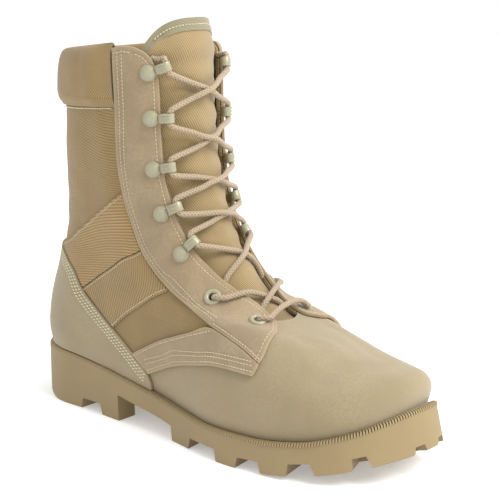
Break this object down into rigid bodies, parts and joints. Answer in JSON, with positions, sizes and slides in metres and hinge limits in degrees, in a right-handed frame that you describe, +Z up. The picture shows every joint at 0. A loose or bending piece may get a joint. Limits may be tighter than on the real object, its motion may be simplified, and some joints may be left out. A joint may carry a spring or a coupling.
{
  "type": "jungle boot",
  "caption": "Tall lace-up jungle boot with hollow leather and cloth upper, padded collar, tongue, speed hooks and lugged rubber sole.",
  "frame": {"origin": "on the floor under the middle of the heel, on the flat bottom of the rear heel lug", "axes": "+X to the toe, +Y to the inner side of the foot, +Z up"},
  "size_m": [0.3098, 0.1094, 0.2627],
  "materials": {
    "sole_rubber": "matte moulded rubber",
    "nubuck": "matte nubuck with a fine nap",
    "suede": "matte suede, mottled, raw cut edges",
    "shaft_cloth": "twill weave",
    "webbing": "ribbed webbing",
    "binding_tape": "woven tape",
    "lace_cord": "round braid",
    "footbed": "matte cloth-faced foam",
    "hook_paint": "glossy enamel"
  },
  "bodies": {
    "root": {"outsole": "sole_rubber", "insole": "footbed", "upper": "nubuck", "heel_counter": "nubuck", "cuff": "shaft_cloth", "tongue": "shaft_cloth", "tongue_binding": "binding_tape", "lace_crossings": "lace_cord", "lace_lower": "lace_cord", "lace_bar": "lace_cord", "facing_outer": "suede", "quarter_outer": "suede", "ankle_web_outer": "webbing", "ankle_band_outer": "shaft_cloth", "hook_outer_1": "hook_paint", "hook_outer_2": "hook_paint", "hook_outer_3": "hook_paint", "hook_outer_4": "hook_paint", "hook_outer_5": "hook_paint", "eyelet_outer_1": "hook_paint", "eyelet_outer_2": "hook_paint", "facing_inner": "suede", "quarter_inner": "suede", "ankle_web_inner": "webbing", "ankle_band_inner": "shaft_cloth", "hook_inner_1": "hook_paint", "hook_inner_2": "hook_paint", "hook_inner_3": "hook_paint", "hook_inner_4": "hook_paint", "hook_inner_5": "hook_paint", "eyelet_inner_1": "hook_paint", "eyelet_inner_2": "hook_paint"}
  },
  "joints": []
}
